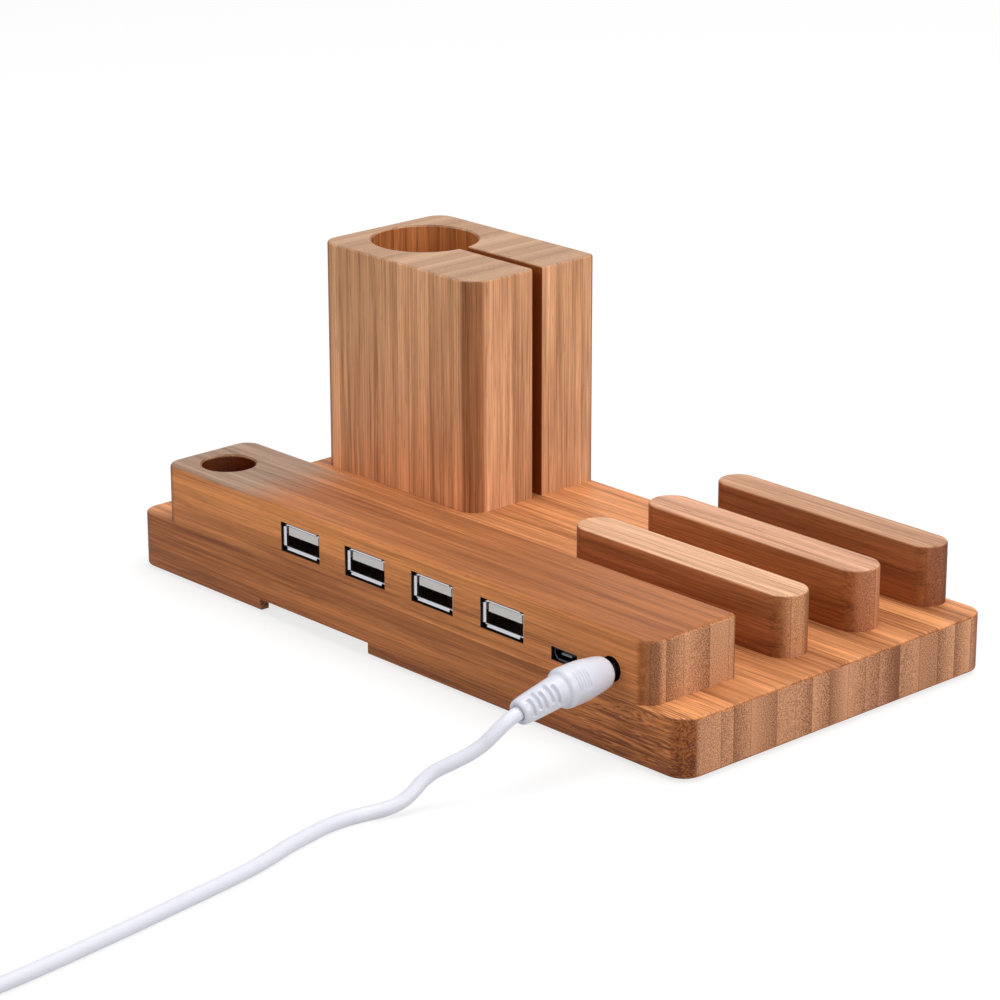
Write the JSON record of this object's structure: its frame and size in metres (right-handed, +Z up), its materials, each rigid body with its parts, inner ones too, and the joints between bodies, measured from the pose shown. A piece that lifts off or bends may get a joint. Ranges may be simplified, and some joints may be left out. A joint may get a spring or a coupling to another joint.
{
  "type": "charging station organizer",
  "caption": "Desk charging station of laminated bamboo with USB ports, slots for phones and tablets, a pen hole, a watch stand and a plug-in power lead.",
  "frame": {"origin": "under the middle of the base board, on the surface that its feet stand on", "axes": "+X along the front from left to right, +Y from the ports at the front to the back, +Z up"},
  "size_m": [0.1956, 0.3297, 0.0762],
  "materials": {
    "bamboo": "satin, caramel, grain along the front",
    "bamboo_upright": "satin, caramel, grain upright",
    "rubber": "matte",
    "screw_steel": "plated",
    "circuit_board": "solder mask",
    "light_plastic": "matte",
    "port_metal": "nickel plated",
    "black_plastic": "matte",
    "contact_metal": "plated",
    "dark_plastic": "matte",
    "can_metal": "satin",
    "white_plastic": "glossy",
    "white_cord": "smooth, soft",
    "yellow_plastic": "tape"
  },
  "bodies": {
    "station": {"base_board": "bamboo", "hub_housing": "bamboo", "divider_front": "bamboo", "divider_middle": "bamboo", "divider_rear": "bamboo", "watch_stand": "bamboo_upright", "foot_pads": "rubber", "housing_screws": "screw_steel", "divider_screws": "screw_steel", "stand_screws": "screw_steel", "hub_board": "circuit_board", "board_spacers": "light_plastic", "board_screws": "screw_steel", "data_port_shell": "port_metal", "data_port_tongue": "light_plastic", "jack_body": "black_plastic", "jack_pin": "port_metal", "jack_spring": "contact_metal", "hub_chip": "black_plastic", "switch_chips": "black_plastic", "power_inductor": "dark_plastic", "capacitors": "can_metal", "crystal": "can_metal", "usb_shell_1": "port_metal", "usb_tongue_1": "light_plastic", "usb_contacts_1": "contact_metal", "usb_shell_2": "port_metal", "usb_tongue_2": "light_plastic", "usb_contacts_2": "contact_metal", "usb_shell_3": "port_metal", "usb_tongue_3": "light_plastic", "usb_contacts_3": "contact_metal", "usb_shell_4": "port_metal", "usb_tongue_4": "light_plastic", "usb_contacts_4": "contact_metal"},
    "power_lead": {"plug_grip": "white_plastic", "plug_barrel": "port_metal", "plug_insulator": "black_plastic", "cord_run": "white_cord", "cord_coil": "white_cord", "cord_tail": "white_cord", "adapter_case": "white_plastic", "adapter_face": "white_plastic", "adapter_blades": "port_metal", "adapter_relief": "white_cord", "adapter_board": "circuit_board", "adapter_transformer": "yellow_plastic"}
  },
  "joints": [
    {"name": "power_plug_pull", "type": "slide", "parent": "station", "child": "power_lead", "axis": [0, -1, 0], "range_m": [0, 0.012]}
  ]
}
